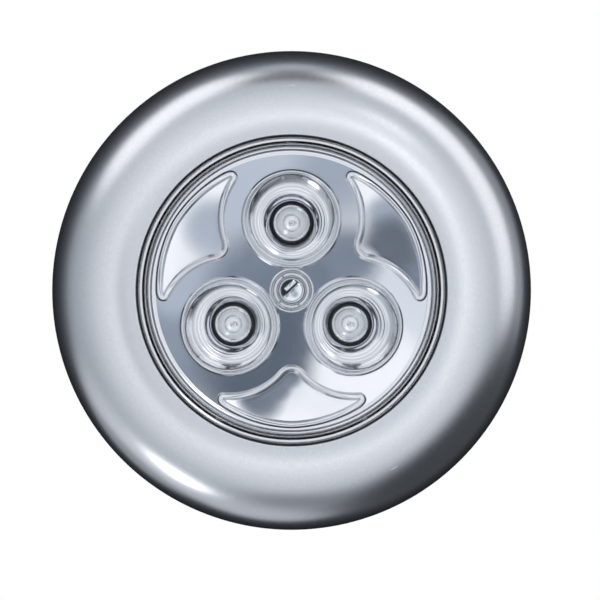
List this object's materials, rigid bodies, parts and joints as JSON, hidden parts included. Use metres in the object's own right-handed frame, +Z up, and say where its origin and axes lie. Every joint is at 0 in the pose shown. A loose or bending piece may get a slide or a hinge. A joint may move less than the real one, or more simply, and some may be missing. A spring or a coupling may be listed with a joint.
{
  "type": "puck light",
  "caption": "Round push light for a wall or cupboard: silver domed housing, clear press-to-switch lens, metallised reflector with LEDs, twist-off base with adhesive pad.",
  "frame": {"origin": "centre of the adhesive pad's back face, on the wall", "axes": "+Y into the wall, square to it; the lens faces -Y; +Z up as pictured, through the upper LED; +X to the right seen from the front"},
  "size_m": [0.065, 0.0256, 0.065],
  "materials": {
    "foam": "white closed-cell foam tape",
    "base_plastic": "fine moulded texture",
    "silver_paint": "satin silver paint on moulded plastic",
    "tray_plastic": "moulded",
    "cell_jacket": "printed film over steel, bare of print",
    "nickel_plate": "nickel plated strip",
    "spring_steel": "plated wire",
    "zinc_plate": "zinc plated",
    "circuit_board": "solder resist on glass epoxy",
    "chip_resistor": "glazed chip",
    "led_resin": "clear epoxy",
    "metallised_plastic": "vacuum metallised, mirror bright",
    "switch_nylon": "moulded",
    "switch_cover": "plated",
    "switch_stem": "moulded",
    "clear_plastic": "clear polished",
    "lead_red": "insulated wire",
    "lead_black": "insulated wire"
  },
  "bodies": {
    "base": {"base_plate": "base_plastic", "adhesive_pad": "foam"},
    "head": {"housing": "silver_paint", "battery_tray": "tray_plastic", "battery_1": "cell_jacket", "battery_2": "cell_jacket", "battery_3": "cell_jacket", "contact_positive": "nickel_plate", "contact_negative": "nickel_plate", "contact_bridge_1": "nickel_plate", "contact_bridge_2": "nickel_plate", "battery_spring_1": "spring_steel", "battery_spring_2": "spring_steel", "battery_spring_3": "spring_steel", "tray_screw_1": "zinc_plate", "tray_screw_2": "zinc_plate", "tray_screw_3": "zinc_plate", "board_screw_1": "zinc_plate", "board_screw_2": "zinc_plate", "board_screw_3": "zinc_plate", "circuit_board": "circuit_board", "resistor_1": "chip_resistor", "resistor_2": "chip_resistor", "resistor_3": "chip_resistor", "led_1": "led_resin", "led_2": "led_resin", "led_3": "led_resin", "reflector": "metallised_plastic", "switch_case": "switch_nylon", "switch_cover": "switch_cover", "switch_spring": "spring_steel", "lead_red": "lead_red", "lead_black": "lead_black"},
    "lens": {"lens": "clear_plastic"},
    "plunger": {"switch_plunger": "switch_stem"}
  },
  "joints": [
    {"name": "head_twist", "type": "hinge", "parent": "base", "child": "head", "pos_m": [0, 0, 0], "axis": [0, -1, 0], "range_deg": [0, 30]},
    {"name": "lens_press", "type": "slide", "parent": "head", "child": "lens", "axis": [0, 1, 0], "range_m": [0, 0.001], "stiffness_N_per_m": 1500, "springref_m": -0.001},
    {"name": "plunger_press", "type": "slide", "parent": "head", "child": "plunger", "axis": [0, 1, 0], "range_m": [0, 0.001], "deforming": ["switch_spring"]}
  ],
  "couplings": [
    {"joint": "plunger_press", "follows": "lens_press", "ratio": 1}
  ]
}
